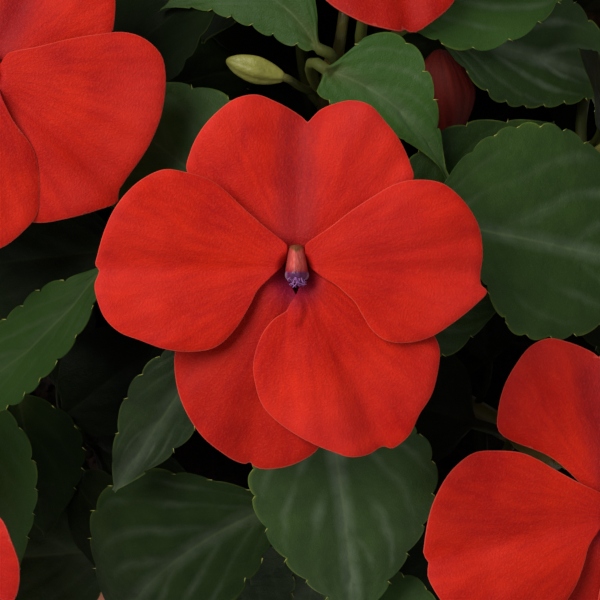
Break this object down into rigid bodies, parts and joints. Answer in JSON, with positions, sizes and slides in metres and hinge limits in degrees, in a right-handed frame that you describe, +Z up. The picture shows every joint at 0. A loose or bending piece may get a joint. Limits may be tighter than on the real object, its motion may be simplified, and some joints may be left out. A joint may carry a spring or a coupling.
{
  "type": "potted plant",
  "caption": "Bushy busy lizzie with wide open red flowers, buds and scalloped leaves, growing from soil in a tapered clay pot.",
  "frame": {"origin": "middle of the pot's flat underside, where the pot stands", "axes": "+Z up, -Y towards the side that the fullest flower faces, +X to the right seen from that side"},
  "size_m": [0.1572, 0.1598, 0.1788],
  "materials": {
    "clay": "matte",
    "compost": "matte",
    "stem": "satin",
    "leaf": "satin",
    "petal": "matte",
    "column": "satin",
    "sepal": "satin"
  },
  "bodies": {
    "root": {"flower_back": "petal", "flower_back_right": "petal", "flower_bud": "petal", "flower_bud_small": "sepal", "flower_calyx": "petal", "flower_column": "column", "flower_left": "petal", "flower_left_low": "petal", "flower_pedicel": "stem", "flower_petal_left": "petal", "flower_petal_lower_left": "petal", "flower_petal_lower_right": "petal", "flower_petal_right": "petal", "flower_petal_upper": "petal", "flower_right": "petal", "flower_right_low": "petal", "flower_top": "petal", "flower_top_left": "petal", "leaf_back_1": "leaf", "leaf_back_2": "leaf", "leaf_back_3": "leaf", "leaf_back_4": "leaf", "leaf_back_left_1": "leaf", "leaf_back_left_2": "leaf", "leaf_back_left_3": "leaf", "leaf_back_left_4": "leaf", "leaf_back_right_1": "leaf", "leaf_back_right_2": "leaf", "leaf_back_right_3": "leaf", "leaf_back_right_4": "leaf", "leaf_front_down": "leaf", "leaf_front_far_left": "leaf", "leaf_front_left": "leaf", "leaf_front_left_low": "leaf", "leaf_front_right": "leaf", "leaf_front_right_low": "leaf", "leaf_front_under": "leaf", "leaf_front_up_left": "leaf", "leaf_front_up_right": "leaf", "leaf_left_low_out": "leaf", "leaf_left_low_under": "leaf", "leaf_left_low_up": "leaf", "leaf_left_out": "leaf", "leaf_left_up": "leaf", "leaf_right_low_down": "leaf", "leaf_right_low_right": "leaf", "leaf_right_low_up": "leaf", "leaf_right_out": "leaf", "leaf_right_under": "leaf", "leaf_right_up": "leaf", "leaf_top_back": "leaf", "leaf_top_down": "leaf", "leaf_top_far_right": "leaf", "leaf_top_left": "leaf", "leaf_top_right": "leaf", "pot": "clay", "seed_capsule": "sepal", "soil": "compost", "stem": "stem"}
  },
  "joints": []
}
